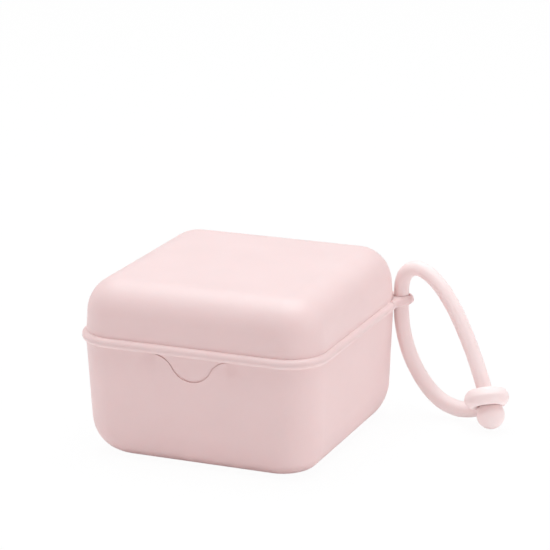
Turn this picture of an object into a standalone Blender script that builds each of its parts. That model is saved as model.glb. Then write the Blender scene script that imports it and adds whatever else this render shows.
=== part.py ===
"""Pacifier box: a square moulded box with rounded corners, a lid on a living hinge at the back,
an upstanding lip inside the seam, a thumb tab at the front, and a silicone carrying strap.

The strap is a soft cord that passes up through an eye at the back right corner. One end carries a
ring, the other end goes down through that ring and ends in a ball.

Metres, +Z up. The origin is on the underside, in the middle of the square plan. The thumb tab
faces -Y and the hinge is at +Y.
"""

import math

import bmesh
import bpy
from mathutils import Matrix, Vector

# Plan and heights of the two shells
BODY_WIDTH = 0.08086  # square plan, across the base wall just under its shoulder
BASE_HEIGHT = 0.03905  # underside to the base's rim
LID_HEIGHT = 0.0185  # the lid's rim to its flat top
SEAM_GAP = 0.0003  # between the two rims when the lid is shut

# Base
BASE_WALL = 0.002
BASE_FLOOR = 0.002
BASE_DRAFT = 0.001  # how far the wall draws in, from the shoulder down to the bottom curve
BASE_CORNER_RADIUS = 0.0115
BASE_CORNER_SHRINK_SHARE = 0.336  # of each step inwards, what the corner radius loses
BASE_CURVE_WIDTH = 0.0087  # the round at the bottom edge, measured along the floor
BASE_CURVE_RISE = 0.01306
SHOULDER_DROP = 0.00145  # the base's half of the bead round the rim

# Lip that stands up inside the lid
LIP_RISE = 0.003
LIP_THICKNESS = 0.0011
LIP_CLEARANCE = 0.0003
LIP_CHAMFER = 0.0003
LIP_ROOT_DROP = 0.0014  # from the rim down to the slope that carries the lip

# Lid
LID_WALL = 0.0016
LID_ROOF = 0.0018
LID_OVERHANG = 0.00017  # the lid's wall stands this much outside the base's
LID_DRAFT = 0.00045
LID_CORNER_RADIUS = 0.0125
LID_CURVE_WIDTH = 0.01067
LID_CURVE_DROP = 0.01172
BEAD_HEIGHT = 0.00135  # the lid's half of the half-round bead, which the seam parts
BEAD_REACH = 0.0014

# Snap rib on the lip and its groove in the lid
RIB_LENGTH = 0.024
RIB_RADIUS = 0.0006
RIB_REACH = 0.0002
RIB_RISE = 0.0015  # above the base's rim

# Thumb tab in the front wall: a face that leans in towards its bottom, in a narrow groove
TAB_HALF_WIDTH = 0.013  # to the flared tips
TAB_DROP = 0.008
TAB_FLARE_RADIUS = 0.0071
TAB_SINK = 0.0006  # of the face, at its bottom
TAB_TOP_STAND = 0.00003  # the face's plane clears the wall at the top, and meets it just below
TAB_TIP_SHIFT = 0.00005  # keeps the flared tips from running out to nothing
TAB_TOP_GAP = 0.0001  # under the shoulder
GROOVE_WIDTH = 0.00035
GROOVE_DEPTH = 0.0011

# Living hinge at the back
HINGE_WIDTH = 0.050
HINGE_THICKNESS = 0.0004
HINGE_BEND_RADIUS = 0.00085  # middle of the web
HINGE_OFFSET = 0.0009  # joint axis behind the bead
HINGE_CLEARANCE = 0.0003
LEDGE_MARGIN = 0.002  # the base's ledge runs past the web at each side
LEDGE_THICKNESS = 0.0013
LEDGE_BEVEL = 0.0004

# Eye for the strap, at the back right corner
EYE_BEARING = math.radians(33.3)  # seen from the corner's centre
EYE_WALL = 0.00142
EYE_CLEARANCE = 0.00015
EYE_THICKNESS = 0.0028
EYE_TOP_STAND = 0.0001  # above the bead's top
EYE_EDGE = 0.0003
CORD_TO_LID = 0.00067
ROOT_BITE = 0.0004  # how far the eye's root goes down into the base's rim
ROOT_BACK_RUN = 0.0082  # from the corner's centre to where the root stops at the back
NOTCH_GAP = 0.0003
NOTCH_BITE = 0.0001

# Strap
CORD_DIAMETER = 0.005
STRAP_BEARING = math.radians(-8.5)
CORD_POINT_SPACING = 0.0022
STRAP_GAP = 0.0003
RING_RADIUS = 0.00725
RING_THICKNESS = 0.0051
RING_CLEARANCE = 0.0003
RING_LEAN_IN = math.radians(19.1)  # of the ring's axis, from upright towards the eye
RING_LEAN_BACK = math.radians(19.8)  # and out of the strap's plane, away from the front
RING_TO_BALL = 0.0064
RING_ROOT_RUN = 0.003  # straight part of the root that meets the cord
BALL_RADIUS = 0.00456

# The cord's middle line: distance out from the eye, distance back out of the strap's plane, and
# height, from the ring's root, up through the eye, over the top and down to the ball
CORD_ROUTE = (
    (0.02540, 0.00228, 0.00465),
    (0.02393, 0.00226, 0.00429),
    (0.02076, 0.00215, 0.00398),
    (0.01731, 0.00199, 0.00465),
    (0.01420, 0.00178, 0.00595),
    (0.01154, 0.00154, 0.00795),
    (0.00921, 0.00128, 0.01029),
    (0.00723, 0.00102, 0.01294),
    (0.00547, 0.00076, 0.01576),
    (0.00392, 0.00052, 0.01872),
    (0.00266, 0.00031, 0.02182),
    (0.00167, 0.00015, 0.02505),
    (0.00084, 0.00004, 0.02835),
    (0.00043, 0.00000, 0.03120),
    (0.00012, 0.00000, 0.03440),
    (0.00000, 0.00000, 0.03780),
    (0.00000, 0.00000, 0.04100),
    (0.00027, 0.00000, 0.04420),
    (0.00105, 0.00000, 0.04699),
    (0.00238, 0.00000, 0.04897),
    (0.00423, 0.00000, 0.05023),
    (0.00616, 0.00000, 0.05064),
    (0.00798, 0.00000, 0.05019),
    (0.00961, 0.00000, 0.04954),
    (0.01110, 0.00000, 0.04870),
    (0.01370, 0.00000, 0.04663),
    (0.01589, 0.00000, 0.04423),
    (0.01783, 0.00000, 0.04159),
    (0.01965, 0.00002, 0.03889),
    (0.02125, 0.00009, 0.03605),
    (0.02269, 0.00020, 0.03309),
    (0.02408, 0.00031, 0.03012),
    (0.02544, 0.00040, 0.02712),
    (0.02674, 0.00043, 0.02409),
    (0.02798, 0.00036, 0.02104),
    (0.02916, 0.00025, 0.01803),
    (0.03045, -0.00012, 0.01504),
    (0.03144, -0.00062, 0.01303),
    (0.03222, -0.00100, 0.01122),
    (0.03310, -0.00143, 0.00916),
)

# Facets
CORNER_SEGMENTS = 12
CURVE_SEGMENTS = 8
NOSE_SEGMENTS = 6
EYE_STEPS = 40
CORNER_STEPS = 96
RING_STEPS = 32
BALL_STEPS = 24
BALL_SEGMENTS = 10
RIB_STEPS = 16
OUTLINE_SEGMENTS = 10
CORD_RESOLUTION = 4
MERGE_DISTANCE = 0.00001
OVERRUN = 0.002  # how far cutters run past what they cut

# Sizes that follow from the ones above
BODY_HALF = BODY_WIDTH / 2
SHOULDER_Z = BASE_HEIGHT - SHOULDER_DROP
BASE_LOW_HALF = BODY_HALF - BASE_DRAFT
LID_HALF = BODY_HALF + LID_OVERHANG
LID_HIGH_HALF = LID_HALF - LID_DRAFT
LID_INNER_HALF = LID_HALF - LID_WALL
CORNER_CENTRE = LID_HALF - LID_CORNER_RADIUS
BEAD_HALF = LID_HALF + BEAD_REACH
RIM_Z = BASE_HEIGHT + SEAM_GAP
BEAD_TOP_Z = RIM_Z + BEAD_HEIGHT
LID_TOP_Z = RIM_Z + LID_HEIGHT
LIP_HALF = LID_INNER_HALF - LIP_CLEARANCE
LIP_TOP_Z = BASE_HEIGHT + LIP_RISE
CORD_RADIUS = CORD_DIAMETER / 2
EYE_HOLE_RADIUS = CORD_RADIUS + EYE_CLEARANCE
EYE_RADIUS = EYE_HOLE_RADIUS + EYE_WALL
EYE_TOP_Z = BEAD_TOP_Z + EYE_TOP_STAND
EYE_DISTANCE = LID_CORNER_RADIUS + CORD_TO_LID + CORD_RADIUS
EYE_X = CORNER_CENTRE + EYE_DISTANCE * math.cos(EYE_BEARING)
EYE_Y = CORNER_CENTRE + EYE_DISTANCE * math.sin(EYE_BEARING)
HINGE_Y = BEAD_HALF + HINGE_OFFSET
HINGE_Z = BASE_HEIGHT + SEAM_GAP / 2

PARTS = "Pacifier box"
CUTTERS = "Pacifier box cutters"


def clear_scene():
    for item in list(bpy.data.objects):
        bpy.data.objects.remove(item, do_unlink=True)


def make_collection(name):
    collection = bpy.data.collections.new(name)
    bpy.context.scene.collection.children.link(collection)
    return collection


def make_material(name, colour, roughness, metallic):
    material = bpy.data.materials.new(name)
    material.use_nodes = True
    shader = material.node_tree.nodes["Principled BSDF"]
    shader.inputs["Base Color"].default_value = (*colour, 1.0)
    shader.inputs["Roughness"].default_value = roughness
    shader.inputs["Metallic"].default_value = metallic
    return material


def put(item, collection):
    """Move an object into one collection, out of any other."""
    for holder in list(item.users_collection):
        holder.objects.unlink(item)
    collection.objects.link(item)
    return item


def hide_cutter(item, collection):
    put(item, collection)
    item.hide_render = True
    item.display_type = "WIRE"
    return item


def object_from(name, shape, collection):
    """Turn a bmesh into an object whose faces point out."""
    bmesh.ops.recalc_face_normals(shape, faces=shape.faces)
    mesh = bpy.data.meshes.new(name)
    shape.to_mesh(mesh)
    shape.free()
    item = bpy.data.objects.new(name, mesh)
    collection.objects.link(item)
    return item


def finish(item, material):
    """Give a piece its material and smooth shading with crisp edges."""
    item.data.materials.clear()
    item.data.materials.append(material)
    item.data.shade_smooth()
    item.data.set_sharp_from_angle(angle=math.radians(30))


def boolean(item, other, operation):
    modifier = item.modifiers.new(operation.title() + " " + other.name, "BOOLEAN")
    modifier.operation = operation
    modifier.solver = "EXACT"
    modifier.object = other


def arc(radius_x, radius_z, start, end, count):
    """Points of an elliptic arc about zero, at equal angles in degrees."""
    points = []
    for index in range(count + 1):
        angle = math.radians(start + (end - start) * index / count)
        points.append((radius_x * math.cos(angle), radius_z * math.sin(angle)))
    return points


def rounded_square(half, radius, height):
    """One closed ring of a square plan with round corners."""
    centre = half - radius
    ring = []
    for turn in range(4):
        spin = Matrix.Rotation(turn * math.pi / 2, 3, "Z")
        for x, y in arc(radius, radius, 0, 90, CORNER_SEGMENTS):
            ring.append(spin @ Vector((centre + x, centre + y, height)))
    return ring


def loft(name, stations, collection):
    """Bridge rings of a square plan, from the first station to the last, and close both ends."""
    shape = bmesh.new()
    rings = []
    for half, radius, height in stations:
        rings.append([shape.verts.new(point) for point in rounded_square(half, radius, height)])
    for ring, following in zip(rings[:-1], rings[1:]):
        for index, corner in enumerate(ring):
            beside = (index + 1) % len(ring)
            shape.faces.new((corner, ring[beside], following[beside], following[index]))
    shape.faces.new(rings[0])
    shape.faces.new(rings[-1])
    return object_from(name, shape, collection)


def turned(name, profile, steps, closed, collection):
    """Turn a profile of (radius, height) points round the local Z axis with a Screw modifier."""
    shape = bmesh.new()
    points = [shape.verts.new((radius, 0, height)) for radius, height in profile]
    for first, second in zip(points[:-1], points[1:]):
        shape.edges.new((first, second))
    if closed:
        shape.edges.new((points[-1], points[0]))
    mesh = bpy.data.meshes.new(name)
    shape.to_mesh(mesh)
    shape.free()
    item = bpy.data.objects.new(name, mesh)
    collection.objects.link(item)
    screw = item.modifiers.new("Screw", "SCREW")
    screw.axis = "Z"
    screw.steps = steps
    screw.render_steps = steps
    screw.use_merge_vertices = True
    screw.merge_threshold = MERGE_DISTANCE
    screw.use_smooth_shade = True
    return item


def box(name, low, high, collection):
    """A box from its lowest to its highest corner, its origin in the middle."""
    size = Vector(high) - Vector(low)
    shape = bmesh.new()
    bmesh.ops.create_cube(shape, size=1)
    bmesh.ops.scale(shape, vec=size, verts=shape.verts)
    item = object_from(name, shape, collection)
    item.location = (Vector(low) + Vector(high)) / 2
    return item


def cylinder(name, radius, length, steps, collection):
    """A cylinder along its own Z axis, its origin in the middle."""
    shape = bmesh.new()
    bmesh.ops.create_cone(
        shape, cap_ends=True, segments=steps, radius1=radius, radius2=radius, depth=length
    )
    return object_from(name, shape, collection)


def mesh_from_curve(item):
    """Replace a curve object by its mesh, with the caps welded on."""
    graph = bpy.context.evaluated_depsgraph_get()
    mesh = bpy.data.meshes.new_from_object(item.evaluated_get(graph))
    shape = bmesh.new()
    shape.from_mesh(mesh)
    bmesh.ops.remove_doubles(shape, verts=shape.verts, dist=MERGE_DISTANCE)
    bmesh.ops.recalc_face_normals(shape, faces=shape.faces)
    shape.to_mesh(mesh)
    shape.free()
    solid = bpy.data.objects.new(item.name + "_mesh", mesh)
    solid.matrix_world = item.matrix_world.copy()
    item.users_collection[0].objects.link(solid)
    bpy.data.objects.remove(item, do_unlink=True)
    return solid


def outline(name, points, thickness, collection):
    """A flat outline in the local XY plane, filled and given its thickness along local Z."""
    curve = bpy.data.curves.new(name, "CURVE")
    curve.dimensions = "2D"
    curve.fill_mode = "BOTH"
    curve.extrude = thickness / 2
    spline = curve.splines.new("POLY")
    spline.points.add(len(points) - 1)
    for point, (x, y) in zip(spline.points, points):
        point.co = (x, y, 0, 1)
    spline.use_cyclic_u = True
    item = bpy.data.objects.new(name, curve)
    collection.objects.link(item)
    bpy.context.view_layer.update()
    return mesh_from_curve(item)


def base_radius(half):
    """The base's corner radius where its plan has this half width."""
    return BASE_CORNER_RADIUS - BASE_CORNER_SHRINK_SHARE * (BODY_HALF - half)


def lid_radius(half):
    """The lid's corners, its bead and the lip share one centre."""
    return half - CORNER_CENTRE


def base_outside():
    """Stations of the base's outside, from the underside up to the rim."""
    stations = []
    for x, z in arc(BASE_CURVE_WIDTH, BASE_CURVE_RISE, -90, 0, CURVE_SEGMENTS):
        half = BASE_LOW_HALF - BASE_CURVE_WIDTH + x
        stations.append((half, base_radius(half), BASE_CURVE_RISE + z))
    under = base_radius(BODY_HALF)
    reach = BEAD_HALF - BODY_HALF
    for x, z in arc(reach, SHOULDER_DROP, -90, 0, NOSE_SEGMENTS):
        radius = under + (lid_radius(BEAD_HALF) - under) * x / reach
        stations.append((BODY_HALF + x, radius, BASE_HEIGHT + z))
    return stations


def lip_stations():
    """The lip, up its outside and down its inside."""
    inner = LIP_HALF - LIP_THICKNESS
    path = (
        (LIP_HALF, BASE_HEIGHT),
        (LIP_HALF, LIP_TOP_Z - LIP_CHAMFER),
        (LIP_HALF - LIP_CHAMFER, LIP_TOP_Z),
        (inner + LIP_CHAMFER, LIP_TOP_Z),
        (inner, LIP_TOP_Z - LIP_CHAMFER),
        (inner, BASE_HEIGHT - LIP_ROOT_DROP),
    )
    return [(half, lid_radius(half), height) for half, height in path]


def base_inside():
    """Stations of the base's inside, from under the lip down to the floor."""
    slope = BODY_HALF - BASE_WALL - LIP_HALF + LIP_THICKNESS
    top = BASE_HEIGHT - LIP_ROOT_DROP - slope
    lean = BASE_DRAFT * (SHOULDER_Z - top) / (SHOULDER_Z - BASE_CURVE_RISE)
    outside = BODY_HALF - lean
    stations = [(outside - BASE_WALL, base_radius(outside) - BASE_WALL, top)]
    width = BASE_CURVE_WIDTH - BASE_WALL
    rise = BASE_CURVE_RISE - BASE_FLOOR
    for x, z in arc(width, rise, 0, -90, CURVE_SEGMENTS):
        half = BASE_LOW_HALF - BASE_WALL - width + x
        radius = base_radius(half + BASE_WALL) - BASE_WALL
        stations.append((half, radius, BASE_CURVE_RISE + z))
    return stations


def lid_outside():
    """Stations of the lid's outside, from the flat top down to the bead."""
    path = []
    high = LID_TOP_Z - LID_CURVE_DROP
    for x, z in arc(LID_CURVE_WIDTH, LID_CURVE_DROP, 90, 0, CURVE_SEGMENTS):
        path.append((LID_HIGH_HALF - LID_CURVE_WIDTH + x, high + z))
    for x, z in arc(BEAD_REACH, BEAD_HEIGHT, 90, 0, NOSE_SEGMENTS):
        path.append((LID_HALF + x, RIM_Z + z))
    return [(half, lid_radius(half), height) for half, height in path]


def lid_inside():
    """Stations of the lid's inside, from the rim up to the roof."""
    high = LID_TOP_Z - LID_CURVE_DROP
    width = LID_CURVE_WIDTH - LID_WALL
    rise = LID_CURVE_DROP - LID_ROOF
    path = [
        (LID_INNER_HALF + LIP_CHAMFER, RIM_Z),
        (LID_INNER_HALF, RIM_Z + LIP_CHAMFER),
        (LID_INNER_HALF, LIP_TOP_Z + LIP_CLEARANCE),
    ]
    for x, z in arc(width, rise, 0, 90, CURVE_SEGMENTS):
        path.append((LID_HIGH_HALF - LID_WALL - width + x, high + z))
    return [(half, lid_radius(half), height) for half, height in path]


def snap_bar(name, clearance, collection):
    """A bar that lies along the front of the lip and shows by its reach."""
    length = RIB_LENGTH + 2 * clearance
    item = cylinder(name, RIB_RADIUS + clearance, length, RIB_STEPS, collection)
    item.rotation_euler = (0, math.pi / 2, 0)
    item.location = (0, RIB_RADIUS - RIB_REACH - LIP_HALF, BASE_HEIGHT + RIB_RISE)
    return item


def tab_outline(inset):
    """Round bottom and two flared shoulders that meet it, below the tab's straight top."""
    bottom_radius = (TAB_HALF_WIDTH ** 2 + TAB_DROP ** 2) / (2 * TAB_DROP) - TAB_FLARE_RADIUS
    bottom_centre = bottom_radius - TAB_DROP
    meet = math.degrees(math.atan2(bottom_centre + TAB_FLARE_RADIUS, TAB_HALF_WIDTH))
    flare_radius = TAB_FLARE_RADIUS + inset
    tip = 90 + math.degrees(math.acos((TAB_FLARE_RADIUS - TAB_TIP_SHIFT) / flare_radius))
    flare = arc(flare_radius, flare_radius, tip, 180 - meet, OUTLINE_SEGMENTS)
    right = [(TAB_HALF_WIDTH + x, y - TAB_FLARE_RADIUS) for x, y in flare]
    round_radius = bottom_radius - inset
    bottom = arc(round_radius, round_radius, -meet, meet - 180, 2 * OUTLINE_SEGMENTS)
    middle = [(x, bottom_centre + y) for x, y in bottom]
    left = [(-x, y) for x, y in reversed(right)]
    return right + middle[1:-1] + left


def tab_cutter(name, points, extra_lean, depth, cutters):
    """A flat cutter that stands at the tab's top and goes this deep into the front wall."""
    thickness = depth + OVERRUN
    item = outline(name, points, thickness, cutters)
    lean = math.atan2(BASE_DRAFT, SHOULDER_Z - BASE_CURVE_RISE) + extra_lean
    item.rotation_euler = (math.pi / 2 + lean, 0, 0)
    top = Vector((0, -BODY_HALF, SHOULDER_Z - TAB_TOP_GAP + TAB_TIP_SHIFT))
    outwards = Vector((0, -math.cos(lean), -math.sin(lean)))
    item.location = top + outwards * (thickness / 2 - depth)
    return hide_cutter(item, cutters)


def tab_slice(cutters):
    """What is taken off the wall to make the tab's leaning face."""
    extra_lean = math.atan2(TAB_SINK + TAB_TOP_STAND, TAB_DROP)
    return tab_cutter("tab_slice", tab_outline(GROOVE_WIDTH / 2), extra_lean, -TAB_TOP_STAND, cutters)


def tab_groove(cutters):
    """The groove that frames the tab's sides and bottom."""
    points = tab_outline(0) + tab_outline(GROOVE_WIDTH)[::-1]
    return tab_cutter("tab_groove", points, 0, GROOVE_DEPTH, cutters)


def eye_root(cutters):
    """The rim round the back right corner that carries the eye, in the place of the lid's bead."""
    outer = BEAD_HALF - CORNER_CENTRE
    shelf = LID_CORNER_RADIUS + SEAM_GAP
    rise = EYE_TOP_Z - RIM_Z
    profile = [(shelf + x, RIM_Z + z) for x, z in arc(outer - shelf, rise, 90, 0, NOSE_SEGMENTS)]
    foot = BASE_HEIGHT - ROOT_BITE
    profile += [(outer, BASE_HEIGHT), (outer - ROOT_BITE, foot), (shelf, foot)]
    root = turned("eye_root", profile, 4 * CORNER_SEGMENTS, True, cutters)
    root.location = (CORNER_CENTRE, CORNER_CENTRE, 0)
    start = (CORNER_CENTRE + ROOT_BACK_RUN + NOTCH_GAP, CORNER_CENTRE + NOTCH_GAP, foot - OVERRUN)
    end = (BEAD_HALF + OVERRUN, BEAD_HALF + OVERRUN, EYE_TOP_Z + OVERRUN)
    boolean(root, hide_cutter(box("root_bounds", start, end, cutters), cutters), "INTERSECT")
    return hide_cutter(root, cutters)


def eye_ring(cutters):
    """The eye itself, a ring with a fully rounded outside, clear of the lid's wall above the seam."""
    middle = EYE_TOP_Z - EYE_THICKNESS / 2
    half = EYE_THICKNESS / 2
    round_width = EYE_WALL - EYE_EDGE
    profile = [(EYE_HOLE_RADIUS, middle + half - EYE_EDGE)]
    for x, z in arc(round_width, half, 90, -90, 2 * NOSE_SEGMENTS):
        profile.append((EYE_RADIUS - round_width + x, middle + z))
    profile.append((EYE_HOLE_RADIUS, middle - half + EYE_EDGE))
    ring = turned("eye_ring", profile, EYE_STEPS, True, cutters)
    ring.location = (EYE_X, EYE_Y, 0)
    height = EYE_THICKNESS + OVERRUN
    clearance = cylinder("lid_space", LID_CORNER_RADIUS + SEAM_GAP, height, CORNER_STEPS, cutters)
    clearance.location = (CORNER_CENTRE, CORNER_CENTRE, BASE_HEIGHT + height / 2)
    boolean(ring, hide_cutter(clearance, cutters), "DIFFERENCE")
    return hide_cutter(ring, cutters)


def eye_bore(cutters):
    """The hole of the eye, cut through the root as well."""
    item = cylinder("eye_bore", EYE_HOLE_RADIUS, EYE_THICKNESS + 2 * OVERRUN, EYE_STEPS, cutters)
    item.location = (EYE_X, EYE_Y, EYE_TOP_Z - EYE_THICKNESS / 2)
    return hide_cutter(item, cutters)


def bead_notch(cutters):
    """What the lid's bead leaves free for the eye's root."""
    start = (CORNER_CENTRE + ROOT_BACK_RUN, CORNER_CENTRE, RIM_Z - OVERRUN)
    end = (BEAD_HALF + OVERRUN, BEAD_HALF + OVERRUN, BEAD_TOP_Z + NOTCH_BITE)
    item = box("bead_notch", start, end, cutters)
    height = BEAD_HEIGHT + 3 * OVERRUN
    core = cylinder("notch_core", LID_CORNER_RADIUS - NOTCH_BITE, height, CORNER_STEPS, cutters)
    core.location = (CORNER_CENTRE, CORNER_CENTRE, RIM_Z)
    boolean(item, hide_cutter(core, cutters), "DIFFERENCE")
    return hide_cutter(item, cutters)


def hinge_ledge(cutters):
    """A short ledge on the base's back wall that carries the hinge's web."""
    reach = HINGE_WIDTH / 2 + LEDGE_MARGIN
    low = (-reach, BODY_HALF - BASE_WALL / 2, BASE_HEIGHT - LEDGE_THICKNESS)
    high = (reach, BEAD_HALF, BASE_HEIGHT)
    item = box("hinge_ledge", low, high, cutters)
    bevel = item.modifiers.new("Bevel", "BEVEL")
    bevel.width = LEDGE_BEVEL
    bevel.segments = 2
    return hide_cutter(item, cutters)


def make_base(parts, cutters, material):
    stations = base_outside() + lip_stations() + base_inside()
    base = loft("base_shell", stations, parts)
    boolean(base, hinge_ledge(cutters), "UNION")
    boolean(base, eye_root(cutters), "UNION")
    boolean(base, eye_ring(cutters), "UNION")
    boolean(base, eye_bore(cutters), "DIFFERENCE")
    boolean(base, hide_cutter(snap_bar("snap_rib", 0, cutters), cutters), "UNION")
    boolean(base, tab_slice(cutters), "DIFFERENCE")
    boolean(base, tab_groove(cutters), "DIFFERENCE")
    finish(base, material)
    return base


def make_lid(parts, cutters, material):
    lid = loft("lid_shell", lid_outside() + lid_inside(), parts)
    groove = snap_bar("snap_groove", LIP_CLEARANCE, cutters)
    boolean(lid, hide_cutter(groove, cutters), "DIFFERENCE")
    boolean(lid, bead_notch(cutters), "DIFFERENCE")
    finish(lid, material)
    return lid


def make_hinge(parts, material):
    """The thin web, bent outwards from the ledge to the bead."""
    outer = HINGE_BEND_RADIUS + HINGE_THICKNESS / 2
    inner = HINGE_BEND_RADIUS - HINGE_THICKNESS / 2
    points = arc(outer, outer, -90, 90, CURVE_SEGMENTS) + arc(inner, inner, 90, -90, CURVE_SEGMENTS)
    web = outline("web", points, HINGE_WIDTH, parts)
    web.name = "living_hinge"
    web.rotation_euler = (math.pi / 2, 0, math.pi / 2)
    web.location = (0, BEAD_HALF + HINGE_CLEARANCE, HINGE_Z)
    finish(web, material)
    return web


def smooth_route(points, spacing):
    """Even points along a smooth curve through the route's own points."""
    padded = [points[0] * 2 - points[1], *points, points[-1] * 2 - points[-2]]
    fine = []
    for before, start, end, after in zip(padded, padded[1:], padded[2:], padded[3:]):
        for step in range(CURVE_SEGMENTS):
            t = step / CURVE_SEGMENTS
            pull = (end - before) * t + (before * 2 - start * 5 + end * 4 - after) * t ** 2
            fine.append(start + (pull + (start * 3 - before - end * 3 + after) * t ** 3) / 2)
    fine.append(points[-1])
    distances = [0]
    for first, second in zip(fine[:-1], fine[1:]):
        distances.append(distances[-1] + (second - first).length)
    count = max(2, round(distances[-1] / spacing))
    even = [fine[0]]
    place = 0
    for number in range(1, count):
        target = distances[-1] * number / count
        while distances[place + 1] < target:
            place += 1
        share = (target - distances[place]) / (distances[place + 1] - distances[place])
        even.append(fine[place].lerp(fine[place + 1], share))
    return even + [fine[-1]]


def turn_to(direction):
    """Rotation that lays the local Z axis along a direction."""
    return direction.to_track_quat("Z", "Y").to_euler()


def ring_axis():
    """The ring leans a little more than the strand that passes through it."""
    level = math.cos(RING_LEAN_BACK)
    inwards = -math.sin(RING_LEAN_IN) * level
    return Vector((inwards, math.sin(RING_LEAN_BACK), math.cos(RING_LEAN_IN) * level))


def make_cord(points, parts, material):
    curve = bpy.data.curves.new("cord", "CURVE")
    curve.dimensions = "3D"
    curve.bevel_depth = CORD_RADIUS
    curve.bevel_resolution = CORD_RESOLUTION
    curve.use_fill_caps = True
    spline = curve.splines.new("POLY")
    spline.points.add(len(points) - 1)
    for point, place in zip(spline.points, points):
        point.co = (*place, 1)
    spline.use_smooth = True
    item = bpy.data.objects.new("strap_cord", curve)
    parts.objects.link(item)
    item.data.materials.append(material)
    return item


def make_ball(centre, upwards, parts, material):
    """A ball with a flat seat as wide as the cord."""
    seat = math.degrees(math.acos(CORD_RADIUS / BALL_RADIUS))
    profile = [(0, BALL_RADIUS * math.sin(math.radians(seat)))]
    profile += arc(BALL_RADIUS, BALL_RADIUS, seat, -90, BALL_SEGMENTS)
    ball = turned("strap_ball", profile, BALL_STEPS, False, parts)
    ball.location = centre
    ball.rotation_euler = turn_to(upwards)
    finish(ball, material)
    return ball


def ring_root(end, direction, cutters):
    """A short stub with a round end, as thick as the cord that it meets."""
    profile = [(x, RING_ROOT_RUN + z) for x, z in arc(CORD_RADIUS, CORD_RADIUS, 90, 0, BALL_SEGMENTS)]
    profile[0] = (0, RING_ROOT_RUN + CORD_RADIUS)
    profile += [(CORD_RADIUS, 0), (0, 0)]
    root = turned("ring_root", profile, BALL_STEPS, False, cutters)
    root.location = end + direction * STRAP_GAP
    root.rotation_euler = turn_to(direction)
    return hide_cutter(root, cutters)


def make_ring(centre, end, direction, parts, cutters, material):
    """A thick ring that sits on its root."""
    hole = CORD_RADIUS + RING_CLEARANCE
    half_width = (RING_RADIUS - hole) / 2
    middle = hole + half_width
    section = arc(half_width, RING_THICKNESS / 2, 90, -270, 2 * NOSE_SEGMENTS)[:-1]
    ring = turned("strap_ring", [(middle + x, z) for x, z in section], RING_STEPS, True, parts)
    ring.location = centre
    ring.rotation_euler = turn_to(ring_axis())
    root = ring_root(end, direction, cutters)
    boolean(ring, root, "UNION")
    finish(ring, material)
    return ring, root


def make_strap(parts, cutters, material):
    """The whole strap, laid out along its own upright plane and hung on an empty on the eye's axis."""
    pivot = bpy.data.objects.new("strap_pivot", None)
    pivot.location = (EYE_X, EYE_Y, 0)
    pivot.rotation_euler = (0, 0, STRAP_BEARING)
    parts.objects.link(pivot)
    points = smooth_route([Vector(point) for point in CORD_ROUTE], CORD_POINT_SPACING)
    upwards = (points[-2] - points[-1]).normalized()
    inwards = (points[0] - points[1]).normalized()
    seat = math.sqrt(BALL_RADIUS ** 2 - CORD_RADIUS ** 2)
    ball_centre = points[-1] - upwards * (seat + STRAP_GAP)
    ring_centre = ball_centre + upwards * RING_TO_BALL
    cord = make_cord(points, parts, material)
    ball = make_ball(ball_centre, upwards, parts, material)
    ring, root = make_ring(ring_centre, points[0], inwards, parts, cutters, material)
    for item in (cord, ball, ring, root):
        item.parent = pivot
    return cord, ball, ring


def hang_on_axis(item, name, place, collection):
    """Parent a piece to an empty on its joint's axis, without moving it."""
    pivot = bpy.data.objects.new(name, None)
    pivot.location = place
    collection.objects.link(pivot)
    bpy.context.view_layer.update()
    item.parent = pivot
    item.matrix_parent_inverse = pivot.matrix_world.inverted()


def main():
    clear_scene()
    parts = make_collection(PARTS)
    cutters = make_collection(CUTTERS)
    shell = make_material("pink_plastic", (0.83, 0.63, 0.61), 0.42, 0.0)
    silicone = make_material("pink_silicone", (0.86, 0.66, 0.64), 0.5, 0.0)
    make_base(parts, cutters, shell)
    lid = make_lid(parts, cutters, shell)
    hang_on_axis(lid, "lid_pivot", (0, HINGE_Y, HINGE_Z), parts)
    make_hinge(parts, shell)
    make_strap(parts, cutters, silicone)


main()
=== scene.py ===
"""Looks of the pacifier box: moulded shells, living hinge, silicone strap, camera and soft light.

Metres, +Z up, the underside on z = 0, the thumb tab towards -Y and the hinge towards +Y.
"""

import math

import bmesh
import bpy
from mathutils import Matrix, Vector
from mathutils.geometry import delaunay_2d_cdt


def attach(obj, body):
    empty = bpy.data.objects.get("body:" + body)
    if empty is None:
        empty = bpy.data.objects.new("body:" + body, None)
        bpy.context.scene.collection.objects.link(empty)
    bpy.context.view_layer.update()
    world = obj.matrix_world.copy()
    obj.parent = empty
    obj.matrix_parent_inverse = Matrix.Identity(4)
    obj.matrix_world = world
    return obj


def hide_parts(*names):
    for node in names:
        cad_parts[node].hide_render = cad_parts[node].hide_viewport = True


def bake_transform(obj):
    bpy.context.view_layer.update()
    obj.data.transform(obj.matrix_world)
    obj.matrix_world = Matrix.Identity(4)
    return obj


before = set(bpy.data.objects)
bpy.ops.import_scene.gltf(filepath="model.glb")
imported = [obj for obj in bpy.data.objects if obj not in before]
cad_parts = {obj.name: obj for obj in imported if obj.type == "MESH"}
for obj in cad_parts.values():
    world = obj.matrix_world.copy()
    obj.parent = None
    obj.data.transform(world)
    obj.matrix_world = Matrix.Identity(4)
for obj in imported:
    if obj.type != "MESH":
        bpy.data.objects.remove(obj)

bl_info = {
    "name": "Pacifier box",
    "version": (1, 0, 0),
    "blender": (4, 5, 0),
    "location": "View3D > Sidebar > Pacifier box",
    "description": "Builds a pacifier box with a hinged lid and a silicone strap",
    "category": "Add Mesh",
}

MM = 0.001

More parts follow.
